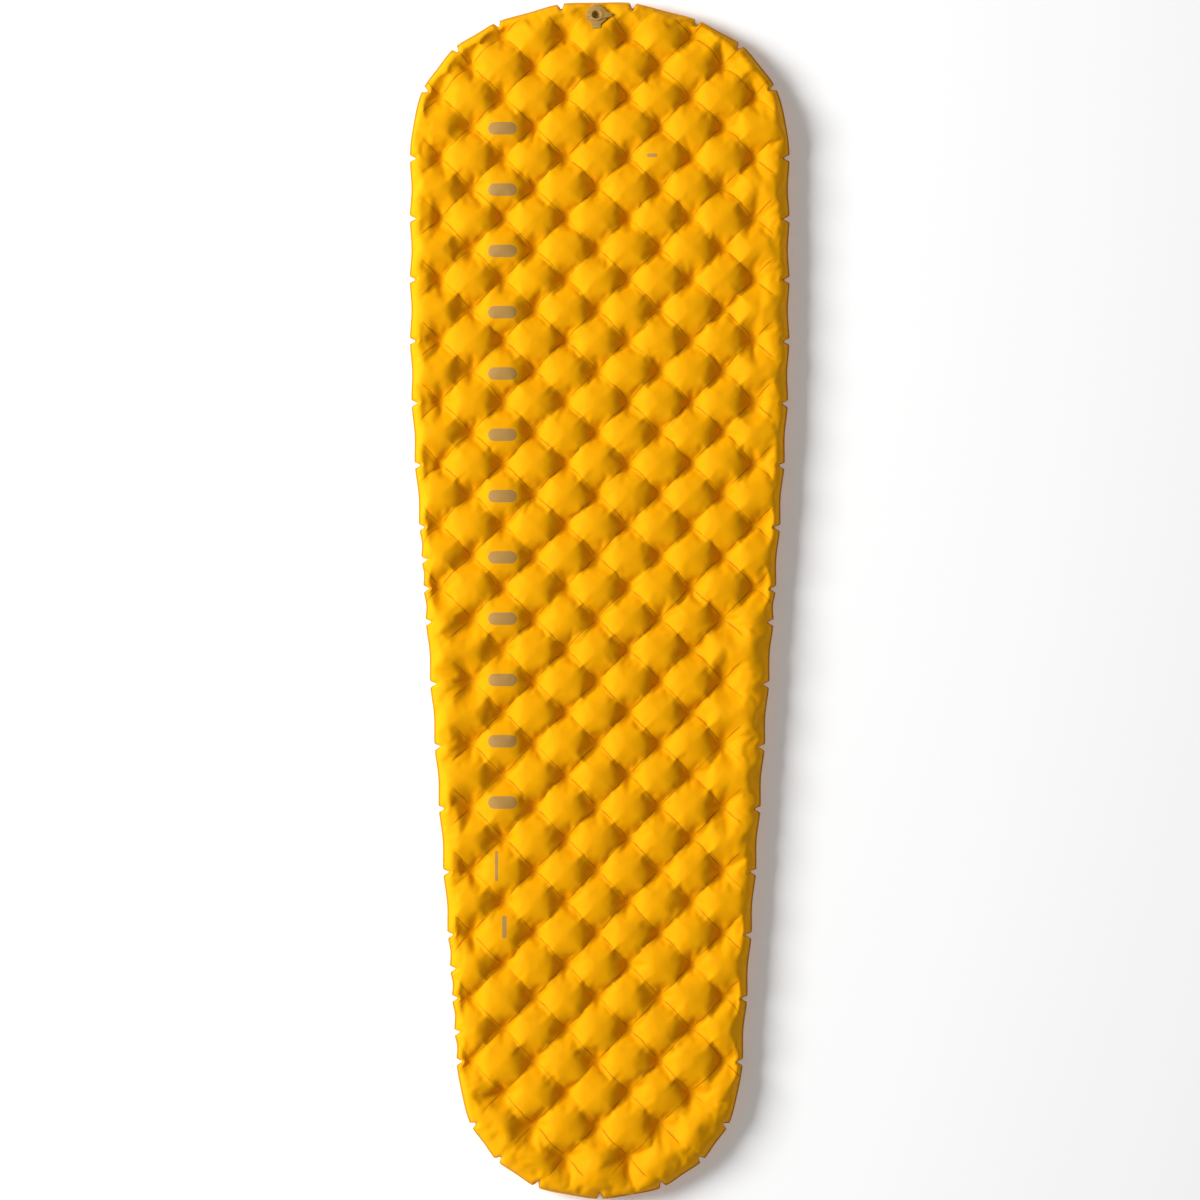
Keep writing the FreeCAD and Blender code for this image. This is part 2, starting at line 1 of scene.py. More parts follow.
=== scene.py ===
"""Inflatable sleeping pad: puffed fabric, welded edge, flat valve, studio floor, light and camera.

Lengths are in metres, in the frame of the CAD model: +Y to the head end, +Z up, ground at z = 0.
"""
import json
import math

import bpy
import numpy as np
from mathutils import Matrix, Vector, geometry


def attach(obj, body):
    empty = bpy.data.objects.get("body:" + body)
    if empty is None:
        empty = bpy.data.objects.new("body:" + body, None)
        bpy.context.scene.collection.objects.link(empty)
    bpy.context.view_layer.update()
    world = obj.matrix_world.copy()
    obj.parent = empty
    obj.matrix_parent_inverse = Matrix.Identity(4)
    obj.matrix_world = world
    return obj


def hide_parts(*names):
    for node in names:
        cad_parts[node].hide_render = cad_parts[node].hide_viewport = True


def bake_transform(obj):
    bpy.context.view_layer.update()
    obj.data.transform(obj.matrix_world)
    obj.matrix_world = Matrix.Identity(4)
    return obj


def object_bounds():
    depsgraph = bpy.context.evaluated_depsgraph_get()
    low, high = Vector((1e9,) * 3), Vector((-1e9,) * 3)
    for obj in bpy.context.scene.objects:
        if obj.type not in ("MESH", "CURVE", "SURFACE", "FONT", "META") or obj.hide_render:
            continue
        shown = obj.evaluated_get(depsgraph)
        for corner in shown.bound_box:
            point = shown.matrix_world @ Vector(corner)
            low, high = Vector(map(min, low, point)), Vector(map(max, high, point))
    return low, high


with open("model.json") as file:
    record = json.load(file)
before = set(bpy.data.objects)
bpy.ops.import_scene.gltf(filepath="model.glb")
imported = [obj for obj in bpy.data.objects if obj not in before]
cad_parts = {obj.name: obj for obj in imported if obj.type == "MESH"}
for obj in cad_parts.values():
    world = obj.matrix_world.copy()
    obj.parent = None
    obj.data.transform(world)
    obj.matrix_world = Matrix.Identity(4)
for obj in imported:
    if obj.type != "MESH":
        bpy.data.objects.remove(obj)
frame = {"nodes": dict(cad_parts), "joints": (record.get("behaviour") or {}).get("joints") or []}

cad_low, cad_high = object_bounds()
MM = 0.001

# ---------------------------------------------------------------- sizes read from the frame

PAD_HEIGHT = cad_high.z
MID = PAD_HEIGHT / 2                   # both sheets are welded together at this height

JOINTS = {joint["name"]: joint for joint in frame["joints"]}
VALVE_AXIS = Vector(JOINTS["check_flap_press"]["axis"]).normalized()
VALVE_X = Vector((1, 0, 0))
VALVE_Y = VALVE_AXIS.cross(VALVE_X)    # towards the head end
DEFLATE_HINGE = Vector(JOINTS["deflate_cap_hinge"]["pos_m"])
DEFLATE_REACH = 17 * MM                # hinge line from the valve's axis
DEFLATE_LEVEL = 2.1 * MM               # hinge line above the fabric's face
VALVE_CENTRE = DEFLATE_HINGE - DEFLATE_REACH * VALVE_Y - DEFLATE_LEVEL * VALVE_AXIS


# ---------------------------------------------------------------- helpers

def deselect_all():
    if bpy.context.object and bpy.context.object.mode != "OBJECT":
        bpy.ops.object.mode_set(mode="OBJECT")
    bpy.ops.object.select_all(action="DESELECT")


def make_active(piece):
    deselect_all()
    piece.select_set(True)
    bpy.context.view_layer.objects.active = piece


def vertex_array(mesh):
    places = np.empty(len(mesh.vertices) * 3)
    mesh.vertices.foreach_get("co", places)
    return places.reshape(-1, 3)


def set_vertices(mesh, places):
    mesh.vertices.foreach_set("co", np.ascontiguousarray(places, dtype=float).ravel())
    mesh.update()


def smooth_step(value):
    value = np.clip(value, 0, 1)
    return value * value * (3 - 2 * value)


def nearest_in(points, places):
    """The number of the nearest of a few flat points, and the distance to it, for each place."""
    numbers = np.zeros(len(places), dtype=int)
    distances = np.full(len(places), np.inf)
    for number, point in enumerate(points):
        away = np.hypot(places[:, 0] - point[0], places[:, 1] - point[1])
        closer = away < distances
        numbers[closer], distances[closer] = number, away[closer]
    return numbers, distances


# ---------------------------------------------------------------- where the welds are

WELD_RADIUS = 5.5 * MM
WELD_SPREAD = 12 * MM                  # corners of one weld are nearer to each other than this
OUTLINE_STEP = 1 * MM
OUTLINE_ROUNDING = 31                  # points over which the frame's short straight runs are rounded off


def weld_centres():
    """The middle of every spot weld, from the corners of the welds in the frame."""
    corners = vertex_array(frame["nodes"]["spot_welds"].data)[:, :2]
    centres = []
    while len(corners):
        near = np.hypot(*(corners - corners[0]).T) < WELD_SPREAD
        centres.append((corners[near].min(0) + corners[near].max(0)) / 2)
        corners = corners[~near]
    return np.array(centres)


def pad_outline():
    """The seam's outer edge as a closed, smooth, anticlockwise run of points."""
    corners = vertex_array(frame["nodes"]["edge_seam"].data)[:, :2]
    hull = corners[geometry.convex_hull_2d([tuple(corner) for corner in corners])]
    hull = np.vstack([hull, hull[:1]])
    along = np.concatenate([[0], np.cumsum(np.hypot(*np.diff(hull, axis=0).T))])
    steps = np.arange(0, along[-1], OUTLINE_STEP)
    points = np.column_stack([np.interp(steps, along, hull[:, axis]) for axis in (0, 1)])
    window = np.ones(OUTLINE_ROUNDING) / OUTLINE_ROUNDING
    half = OUTLINE_ROUNDING // 2
    padded = np.vstack([points[-half:], points, points[:half]])
    return np.column_stack([np.convolve(padded[:, axis], window, "valid") for axis in (0, 1)])


def inward_normals(points):
    tangents = np.roll(points, -1, axis=0) - np.roll(points, 1, axis=0)
    tangents /= np.hypot(*tangents.T)[:, None]
    return np.column_stack([-tangents[:, 1], tangents[:, 0]])


WELDS = weld_centres()
OUTLINE = pad_outline()
INWARD = inward_normals(OUTLINE)
OUTLINE_STRIDE = 40


def nearest_outline(places):
    """The number of the nearest outline point and the distance to it: coarsely first, then closely."""
    rough, _ = nearest_in(OUTLINE[::OUTLINE_STRIDE], places)
    rough *= OUTLINE_STRIDE
    numbers, distances = rough.copy(), np.full(len(places), np.inf)
    for shift in range(-OUTLINE_STRIDE, OUTLINE_STRIDE + 1):
        nearby = (rough + shift) % len(OUTLINE)
        away = np.hypot(*(places[:, :2] - OUTLINE[nearby]).T)
        closer = away < distances
        numbers[closer], distances[closer] = nearby[closer], away[closer]
    return numbers, distances


# Notches: the shrunken seam folds in beside every outer weld, and at chosen places round the foot.
OUTER_WELD_REACH = 82 * MM             # a weld this near to the outline has a notch beside it
FOOT_WELDS_FROM = cad_low.y + 170 * MM
FOOT_NOTCH_SIDES = (0, 97 * MM, 157 * MM, 196 * MM)
NOTCH_DEPTH = 9.5 * MM
NOTCH_HALF_WIDTH = 4.6 * MM
SEGMENT_HOLLOW = 2.5 * MM              # how far the seam pulls in halfway between two notches


def notch_places():
    """Numbers of the outline points at which the seam folds in."""
    numbers, distances = nearest_outline(WELDS)
    beside = (distances < OUTER_WELD_REACH) & (WELDS[:, 1] > FOOT_WELDS_FROM)
    places = set(numbers[beside])
    foot = OUTLINE[:, 1] < FOOT_WELDS_FROM
    for side in FOOT_NOTCH_SIDES:
        for x in {side, -side}:
            away = np.where(foot, np.abs(OUTLINE[:, 0] - x), 1)
            places.add(int(np.argmin(away)))
    return np.array(sorted(places))


def seam_pull():
    """How far each outline point of the real seam lies inside the smooth outline."""
    places = notch_places()
    count = len(OUTLINE)
    numbers = np.arange(count)
    before = places[np.searchsorted(places, numbers, "right") - 1]
    after = places[np.searchsorted(places, numbers, "right") % len(places)]
    since = (numbers - before) % count * OUTLINE_STEP
    until = (after - numbers) % count * OUTLINE_STEP
    nearest = np.minimum(since, until)
    phase = since / np.maximum(since + until, OUTLINE_STEP)
    hollow = SEGMENT_HOLLOW * np.sin(math.pi * phase) ** 2
    return NOTCH_DEPTH * np.clip(1 - nearest / NOTCH_HALF_WIDTH, 0, 1) ** 0.8 + hollow


SEAM_PULL = seam_pull()

# ---------------------------------------------------------------- the puffed fabric

TOP_CELLS, BOTTOM_CELLS = ((15, 12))   # from one column of welds to the next
SHEET_INSET = 2 * MM                   # sheet's edge inside the seam's outer edge
WELD_HALF = 0.6 * MM                   # half the thickness of the welded edge
SHEET_LIFT = 0.85 * MM                 # fabric above the welds' middle
SEAM_SINK = 0.15 * MM                  # the sheet's edge lies this deep in the seam, so that no gap shows
PUFF_START = 20 * MM                   # height of the cells before they are blown up
PUFF_REACH = 42 * MM                   # from a weld to the crown of a cell
SLACK = 0.09                           # how much wider the cut fabric is than the blown-up pad
EDGE_SLACK = 0.05                      # the same at the seam, which folds at its notches
EDGE_BLEND = 30 * MM
SIDE_WALL = 9 * MM                     # spare cloth all round, which stands up as the pad's side wall
SIDE_BLEND = 34 * MM
SIDE_REACH = 24 * MM                   # from the seam to the top of the rounded side
NOTCH_BLEND = 16 * MM                  # how far into the sheet a notch pulls before it is blown up
VALVE_FLAT_RADIUS = 18 * MM            # fabric held flat by the valve's flange
VALVE_HOLE_RADIUS = 14.4 * MM
VALVE_BLEND = 27 * MM
VALVE_CUT_CENTRE = np.array([VALVE_CENTRE.x, VALVE_CENTRE.y - 3.5 * MM])   # on the flat fabric
AIR_STEPS = 14
SMOOTHING = 1                          # rounds that take the crumpled grain off the creases
RELAX_PULL = 0.6                       # share of the way to its neighbours' middle that a vertex moves
BORDER_CLEARANCE = 0.45                # in cells, from the stepped border to its true line
MERGE_REACH = 0.35                     # in cells
VALVE_NEIGHBOURHOOD = 100 * MM
SEAM_GRIP = 6 * MM                     # where the seam holds the fabric against the valve's tilt
START_NOISE = 0.05 * MM
CREASE_REACH, CREASE_FADE = 0.68, 0.2  # in weld columns, from a weld to where its creases end
CREASE_AT_WELD = 0.15
CREASE_START = 8 * MM                  # from a weld's edge to where its creases are at full strength


def weld_levels():
    """Heights along the pad of every row of welds, carried on to both ends of the pad."""
    rows = np.unique(np.round(WELDS[:, 1], 5))
    below = math.ceil((rows[0] - cad_low.y) / (rows[1] - rows[0]))
    above = math.ceil((cad_high.y - rows[-1]) / (rows[-1] - rows[-2]))
    bottom = rows[0] - (rows[1] - rows[0]) * np.arange(below, 0, -1)
    top = rows[-1] + (rows[-1] - rows[-2]) * np.arange(1, above + 1)
    return np.concatenate([bottom, rows, top])


COLUMNS = np.unique(np.round(WELDS[:, 0], 5))
COLUMN_STEP = np.median(np.diff(COLUMNS))
MIDDLE_COLUMN = COLUMNS[np.argmin(np.abs(COLUMNS))]
LEVELS = weld_levels()


def lattice_grid(cells):
    """A flat grid whose lines pass through the middles of all welds, wide enough for the whole pad."""
    left = math.ceil((MIDDLE_COLUMN - cad_low.x) / COLUMN_STEP)
    right = math.ceil((cad_high.x - MIDDLE_COLUMN) / COLUMN_STEP)
    across, along = left + right, len(LEVELS) - 1
    deselect_all()
    bpy.ops.mesh.primitive_grid_add(x_subdivisions=across * cells,
                                    y_subdivisions=along * cells, size=2)
    grid = bpy.context.object
    places = vertex_array(grid.data)
    places[:, 0] = MIDDLE_COLUMN + ((places[:, 0] + 1) / 2 * across - left) * COLUMN_STEP
    places[:, 1] = np.interp((places[:, 1] + 1) / 2 * along, np.arange(along + 1), LEVELS)
    set_vertices(grid.data, places)
    return grid, COLUMN_STEP / cells


def mark_lattice(sheet, flat):
    """Keeps each point's place on the cut fabric: column, row, and how far creases reach there."""
    _, weld = nearest_in(WELDS, flat)
    column = (flat[:, 0] - MIDDLE_COLUMN) / COLUMN_STEP
    row = np.interp(flat[:, 1], LEVELS, np.arange(len(LEVELS)))
    reach = 1 - smooth_step((weld - CREASE_REACH * COLUMN_STEP) / (CREASE_FADE * COLUMN_STEP))
    reach *= CREASE_AT_WELD + (1 - CREASE_AT_WELD) * smooth_step((weld - WELD_RADIUS) / CREASE_START)
    marks = np.column_stack([column, row + weld_parity(), reach])
    layer = sheet.data.attributes.new("lattice", "FLOAT_VECTOR", "POINT")
    layer.data.foreach_set("vector", marks.ravel())


def weld_parity():
    """0 if the welds' columns and rows add up to even numbers, and 1 if they add up to odd ones."""
    welds_column = np.round((WELDS[:, 0] - MIDDLE_COLUMN) / COLUMN_STEP)
    welds_row = np.round(np.interp(WELDS[:, 1], LEVELS, np.arange(len(LEVELS))))
    return int(np.median((welds_column + welds_row) % 2))


def delete_vertices(piece, chosen):
    make_active(piece)
    bpy.ops.object.mode_set(mode="EDIT")
    bpy.ops.mesh.select_mode(type="VERT")
    bpy.ops.mesh.select_all(action="DESELECT")
    bpy.ops.object.mode_set(mode="OBJECT")
    piece.data.vertices.foreach_set("select", chosen)
    bpy.ops.object.mode_set(mode="EDIT")
    bpy.ops.mesh.delete(type="VERT")
    bpy.ops.object.mode_set(mode="OBJECT")


def edge_ends(mesh):
    ends = np.empty(len(mesh.edges) * 2, dtype=int)
    mesh.edges.foreach_get("vertices", ends)
    return ends.reshape(-1, 2)


def border_vertices(mesh):
    """Which vertices lie on an open edge."""
    loops = np.empty(len(mesh.loops), dtype=int)
    mesh.loops.foreach_get("edge_index", loops)
    open_edges = np.bincount(loops, minlength=len(mesh.edges)) == 1
    border = np.zeros(len(mesh.vertices), dtype=bool)
    border[edge_ends(mesh)[open_edges].ravel()] = True
    return border


def relax(mesh, places, free, rounds):
    """Evens out the mesh: each free vertex moves most of the way to the middle of its neighbours."""
    ends = edge_ends(mesh)
    count = np.bincount(ends.ravel(), minlength=len(places))[:, None]
    for _ in range(rounds):
        total = np.column_stack([
            np.bincount(ends[:, 0], places[ends[:, 1], axis], len(places))
            + np.bincount(ends[:, 1], places[ends[:, 0], axis], len(places)) for axis in range(3)])
        places[free] = (places * (1 - RELAX_PULL) + total / count * RELAX_PULL)[free]
    return places


def from_valve(places):
    """Offsets and distance of flat places from the middle of the valve's hole."""
    offsets = places[:, :2] - VALVE_CUT_CENTRE
    return offsets, np.hypot(*offsets.T)


def cut_sheet(cells, valve):
    """The fabric as it is cut: flat, with a smooth outline and, in the top one, the valve's hole."""
    sheet, cell = lattice_grid(cells)
    places = vertex_array(sheet.data)
    numbers, _ = nearest_outline(places)
    inside = ((places[:, :2] - OUTLINE[numbers]) * INWARD[numbers]).sum(1)
    outside = inside < SHEET_INSET + BORDER_CLEARANCE * cell
    if valve:
        outside |= from_valve(places)[1] < VALVE_HOLE_RADIUS + BORDER_CLEARANCE * cell
    delete_vertices(sheet, outside)

    # The stepped border is drawn on to the true line, and the ends of each step meet there.
    places = vertex_array(sheet.data)
    border = border_vertices(sheet.data)
    offsets, away = from_valve(places)
    numbers, _ = nearest_outline(places)
    to_line = SHEET_INSET - ((places[:, :2] - OUTLINE[numbers]) * INWARD[numbers]).sum(1)
    hole = border & (np.abs(away - VALVE_HOLE_RADIUS) < np.abs(to_line)) & valve
    places[:, :2] += np.where(border & ~hole, to_line, 0)[:, None] * INWARD[numbers]
    places[hole, :2] = VALVE_CUT_CENTRE + offsets[hole] / away[hole, None] * VALVE_HOLE_RADIUS
    set_vertices(sheet.data, places)
    make_active(sheet)
    bpy.ops.object.mode_set(mode="EDIT")
    bpy.ops.mesh.select_all(action="SELECT")
    bpy.ops.mesh.remove_doubles(threshold=MERGE_REACH * cell)
    bpy.ops.object.mode_set(mode="OBJECT")

    places = vertex_array(sheet.data)
    border = border_vertices(sheet.data)
    away = from_valve(places)[1]
    _, distances = nearest_outline(places)
    near = (distances < SHEET_INSET + 5 * cell) | (valve & (away < VALVE_HOLE_RADIUS + 4 * cell))
    places = relax(sheet.data, places, near & ~border, 6)
    rim = border & (distances < SHEET_INSET + MM)
    set_vertices(sheet.data, places)
    return sheet, rim


def before_air(flat, rim, valve):
    """Where the flat fabric starts from: arched cells, a notched edge and a tilted valve seat.

    Gives the cut fabric with the spare for its side wall, the places it starts from, which vertices are
    held, and how tight the fabric is, from 1 at the seam to 0 inside.
    """
    numbers, edge = nearest_outline(flat)
    edge = np.maximum(edge - SHEET_INSET, 0)
    _, weld = nearest_in(WELDS, flat)
    start = flat.copy()
    pull = SEAM_PULL[numbers] * (1 - smooth_step(edge / NOTCH_BLEND))
    start[:, :2] += INWARD[numbers] * pull[:, None]
    dome = np.sin(np.clip((weld - WELD_RADIUS) / PUFF_REACH, 0, 1) * math.pi / 2)
    side = np.sqrt(1 - (1 - np.clip(edge / SIDE_REACH, 0, 1)) ** 2)
    start[:, 2] = SHEET_LIFT + PUFF_START * np.minimum(dome, side)
    start[rim, 2] = WELD_HALF - SEAM_SINK
    held = rim | (weld < WELD_RADIUS)
    tight = 1 - smooth_step(edge / EDGE_BLEND)
    if valve:
        offsets, away = from_valve(flat)
        near = away < VALVE_NEIGHBOURHOOD
        seat = np.array([VALVE_CENTRE + VALVE_X * x + VALVE_Y * y for x, y in offsets[near]])
        seat[:, 2] = np.maximum(seat[:, 2] - MID, SHEET_LIFT)
        grip = 1 - smooth_step((away - VALVE_FLAT_RADIUS) / VALVE_BLEND)[:, None]
        at_seam = edge < SEAM_GRIP
        grip[at_seam] *= smooth_step(edge / SEAM_GRIP)[at_seam, None]
        grip[away < VALVE_FLAT_RADIUS] = 1
        start[near] = start[near] * (1 - grip[near]) + seat * grip[near]
        held |= away < VALVE_FLAT_RADIUS
    cut = flat.copy()
    spare = SIDE_WALL * (1 - smooth_step(edge / SIDE_BLEND))
    if valve:
        spare *= smooth_step((away - VALVE_FLAT_RADIUS) / VALVE_BLEND)
    cut[:, :2] -= INWARD[numbers] * spare[:, None]
    return cut, start, held, tight


def puffed(name, cells, valve, seed):
    """One sheet of the pad, blown up by the cloth solver. Its top is up and its welds lie at z = 0."""
    sheet, rim = cut_sheet(cells, valve)
    sheet.name = sheet.data.name = name
    flat = vertex_array(sheet.data)
    cut, start, held, tight = before_air(flat, rim, valve)
    noise = np.random.default_rng(seed).normal(0, START_NOISE, len(start))
    start[~held, 2] += noise[~held]
    set_vertices(sheet.data, start)

    make_active(sheet)
    sheet.shape_key_add(name="start")
    sheet.shape_key_add(name="cut").data.foreach_set("co", cut.ravel())
    pins = sheet.vertex_groups.new(name="held")
    pins.add(np.where(held)[0].tolist(), 1, "REPLACE")
    tight_group = sheet.vertex_groups.new(name="tight")
    for step in range(1, 11):
        tight_group.add(np.where(np.round(tight * 10) == step)[0].tolist(), step / 10, "REPLACE")

    cloth = sheet.modifiers.new("air", "CLOTH")
    settings = cloth.settings
    settings.rest_shape_key = sheet.data.shape_keys.key_blocks["cut"]
    settings.vertex_group_mass = "held"
    settings.vertex_group_shrink = "tight"
    settings.shrink_min, settings.shrink_max = -SLACK, -EDGE_SLACK
    settings.quality, settings.mass, settings.air_damping = 6, 0.3, 1
    settings.tension_stiffness, settings.compression_stiffness, settings.shear_stiffness = 15, 15, 5
    settings.bending_stiffness, settings.bending_damping = 0.05, 0.5
    settings.tension_damping = settings.compression_damping = settings.shear_damping = 5
    settings.use_pressure, settings.uniform_pressure_force = True, 2
    settings.effector_weights.gravity = 0
    cloth.collision_settings.use_collision = False
    cloth.point_cache.frame_start, cloth.point_cache.frame_end = 1, AIR_STEPS
    for step in range(1, AIR_STEPS + 1):
        bpy.context.scene.frame_set(step)
    blown = vertex_array(sheet.evaluated_get(bpy.context.evaluated_depsgraph_get()).data)
    sheet.modifiers.remove(cloth)
    sheet.shape_key_clear()
    sheet.vertex_groups.clear()
    bpy.context.scene.frame_set(1)

    blown = relax(sheet.data, blown, ~held, SMOOTHING)
    high = np.percentile(blown[~held, 2], 99.5)
    stretch = (MID - SHEET_LIFT) / (high - SHEET_LIFT)
    if valve:
        stretch = 1 + (stretch - 1) * smooth_step((from_valve(flat)[1] - VALVE_FLAT_RADIUS) / VALVE_BLEND)
    blown[:, 2] = SHEET_LIFT + (blown[:, 2] - SHEET_LIFT) * stretch
    mark_lattice(sheet, flat)
    set_vertices(sheet.data, blown)
    return sheet


def flip_normals(piece):
    make_active(piece)
    bpy.ops.object.mode_set(mode="EDIT")
    bpy.ops.mesh.select_all(action="SELECT")
    bpy.ops.mesh.flip_normals()
    bpy.ops.object.mode_set(mode="OBJECT")


def top_fabric():
    sheet = puffed("top_fabric", TOP_CELLS, True, 3)
    places = vertex_array(sheet.data)
    places[:, 2] += MID
    set_vertices(sheet.data, places)
    return sheet


def bottom_fabric():
    """The underside is the same fabric upside down, a little flat where its cells stand on the ground."""
    sheet = puffed("bottom_fabric", BOTTOM_CELLS, False, 8)
    places = vertex_array(sheet.data)
    places[:, 2] = np.maximum(MID - places[:, 2], 0)
    set_vertices(sheet.data, places)
    flip_normals(sheet)
    return sheet


# ---------------------------------------------------------------- the welded seam

SEAM_STEP = 2                          # outline points per length of the seam
SEAM_BAND = 5.5 * MM


def seam_band():
    """The flat welded rim round the pad, which follows every notch."""
    chosen = np.arange(0, len(OUTLINE) - 1, SEAM_STEP)
    outer = (OUTLINE + INWARD * SEAM_PULL[:, None])[chosen]
    inner = outer + INWARD[chosen] * SEAM_BAND
    deselect_all()
    bpy.ops.mesh.primitive_circle_add(vertices=len(chosen), radius=1)
    band = bpy.context.object
    band.name = band.data.name = "seam_band"
    bpy.ops.object.mode_set(mode="EDIT")
    bpy.ops.mesh.select_all(action="SELECT")
    bpy.ops.mesh.extrude_edges_move()
    bpy.ops.transform.resize(value=(0.9, 0.9, 1))
    bpy.ops.object.mode_set(mode="OBJECT")
    places = vertex_array(band.data)
    start = np.argsort(np.round(np.hypot(*places[:, :2].T), 3), kind="stable")
    around = (np.arctan2(places[:, 1], places[:, 0]) + 0.0001) % (2 * math.pi)
    for line, numbers in ((inner, start[:len(chosen)]), (outer, start[len(chosen):])):
        numbers = numbers[np.argsort(around[numbers])]
        places[numbers, :2] = line
    places[:, 2] = MID
    set_vertices(band.data, places)
    thicken(band, 2 * WELD_HALF)
    return band


def apply_modifiers(piece):
    make_active(piece)
    for modifier in list(piece.modifiers):
        bpy.ops.object.modifier_apply(modifier=modifier.name)


def thicken(piece, thickness):
    make_active(piece)
    bpy.ops.object.mode_set(mode="EDIT")
    bpy.ops.mesh.select_all(action="SELECT")
    bpy.ops.mesh.normals_make_consistent(inside=False)
    bpy.ops.object.mode_set(mode="OBJECT")
    wall = piece.modifiers.new("wall", "SOLIDIFY")
    wall.thickness, wall.offset = thickness, 0
    apply_modifiers(piece)
    places = vertex_array(piece.data)
    places[:, 2] += MID - (places[:, 2].max() + places[:, 2].min()) / 2
    set_vertices(piece.data, places)


# ---------------------------------------------------------------- the valve

def finished_copy(node_name, name, edge):
    """A rigid valve part with its edges rounded off."""
    deselect_all()
    node = frame["nodes"][node_name]
    part = bpy.data.objects.new(name, node.data.copy())
    part.data.transform(node.matrix_world)
    bpy.context.scene.collection.objects.link(part)
    part.data.materials.clear()
    make_active(part)
    bpy.ops.object.mode_set(mode="EDIT")
    bpy.ops.mesh.select_all(action="SELECT")
    bpy.ops.mesh.remove_doubles(threshold=0.01 * MM)
    bpy.ops.mesh.dissolve_limited(angle_limit=math.radians(1.5))
    bpy.ops.object.mode_set(mode="OBJECT")
    bevel = part.modifiers.new("rounded edges", "BEVEL")
    bevel.width, bevel.segments, bevel.limit_method = edge, 2, "ANGLE"
    bevel.angle_limit, bevel.use_clamp_overlap = math.radians(38), True
    apply_modifiers(part)
    make_active(part)
    bpy.ops.object.shade_smooth_by_angle(angle=math.radians(32))
    return part


def in_valve(across, towards_head, out):
    """A point given from the middle of the valve's seat."""
    return VALVE_CENTRE + VALVE_X * across + VALVE_Y * towards_head + VALVE_AXIS * out


def strap(name, path, width, wall, side):
    """A thin strap bent along a path of points, with its width along side."""
    deselect_all()
    bpy.ops.mesh.primitive_grid_add(x_subdivisions=len(path) - 1, y_subdivisions=4, size=2)
    band = bpy.context.object
    band.name = band.data.name = name
    places = vertex_array(band.data)
    along = np.round((places[:, 0] + 1) / 2 * (len(path) - 1)).astype(int)
    places = np.array([path[step] + side * (off * width / 2) for step, off in zip(along, places[:, 1])])
    set_vertices(band.data, places)
    modifier = band.modifiers.new("wall", "SOLIDIFY")
    modifier.thickness, modifier.offset = wall, 0
    apply_modifiers(band)
    make_active(band)
    bpy.ops.object.shade_smooth_by_angle(angle=math.radians(40))
    return band


def bent_path(centre, radius, first, last, lead_in, lead_out, point, steps=14):
    """Points of a strap round a hinge line: a straight lead, an arc about centre, and a straight lead."""
    turns = [first + (last - first) * step / steps for step in range(steps + 1)]
    arc = [(centre[0] + radius * math.cos(a), centre[1] + radius * math.sin(a)) for a in turns]
    flat = [lead_in] + arc + [lead_out]
    return [point(*place) for place in flat]


def deflate_strap():
    """The living hinge of the wide cap: round the hinge line, from the collar to the plate."""
    path = bent_path((DEFLATE_REACH, DEFLATE_LEVEL), 1.4 * MM, -math.pi / 2, math.pi / 2,
                     (15.2 * MM, 0.7 * MM), (15.2 * MM, 3.5 * MM),
                     lambda y, z: in_valve(0, y, z))
    return strap("deflate_hinge", path, 8 * MM, 0.8 * MM, VALVE_X)


INFLATE_REACH = 12.2 * MM              # hinge line of the small lid, to the side of the valve's axis
INFLATE_LEVEL = 4.05 * MM


def inflate_strap():
    """The living hinge of the small lid: from its tongue over the hinge line down to the plate."""
    path = bent_path((-INFLATE_REACH, INFLATE_LEVEL), 1 * MM, math.pi / 2, math.pi,
                     (-10.4 * MM, 5.05 * MM), (-13.2 * MM, 3.7 * MM),
                     lambda x, z: in_valve(x, 0, z))
    return strap("inflate_hinge", path, 6 * MM, 0.7 * MM, VALVE_Y)


# ---------------------------------------------------------------- materials

class Shade:
    """A shader socket that can be used in sums."""

    def __init__(self, tree, socket):
        self.tree, self.socket = tree, socket

    def node(self, kind, settings=None, values=None, output=0):
        """Any node: its type, its settings, then the values or links of its sockets."""
        made = self.tree.nodes.new("ShaderNode" + kind)
        for name, value in (settings or {}).items():
            if name == "stops":
                ramp = made.color_ramp
                while len(ramp.elements) < len(value):
                    ramp.elements.new(1)
                for element, (place, colour) in zip(ramp.elements, value):
                    element.position, element.color = place, (*colour, 1)
            else:
                setattr(made, name, value)
        for name, value in (values or {}).items():
            if isinstance(value, Shade):
                self.tree.links.new(value.socket, made.inputs[name])
            elif value is not None:
                made.inputs[name].default_value = value
        return Shade(self.tree, made.outputs[output])

    def math(self, operation, other=None, third=None):
        return self.node("Math", {"operation": operation}, {0: self, 1: other, 2: third})

    def __add__(self, other):
        return self.math("ADD", other)

    def __sub__(self, other):
        return self.math("SUBTRACT", other)

    def __rsub__(self, other):
        return self.math("MULTIPLY_ADD", -1.0, other)

    def __mul__(self, other):
        return self.math("MULTIPLY", other)

    __radd__, __rmul__ = __add__, __mul__

    def step(self, low, high):
        """0 below low and 1 above high, smooth between them."""
        return self.node("MapRange", {"interpolation_type": "SMOOTHSTEP"},
                         {"Value": self, "From Min": low, "From Max": high})

    def mixed(self, first, second):
        """The first colour where this is 0 and the second where it is 1."""
        return self.node("Mix", {"data_type": "RGBA"}, {"Factor": self, "A": first, "B": second}, 2)


def colour(red, green, blue):
    return (red, green, blue, 1.0)


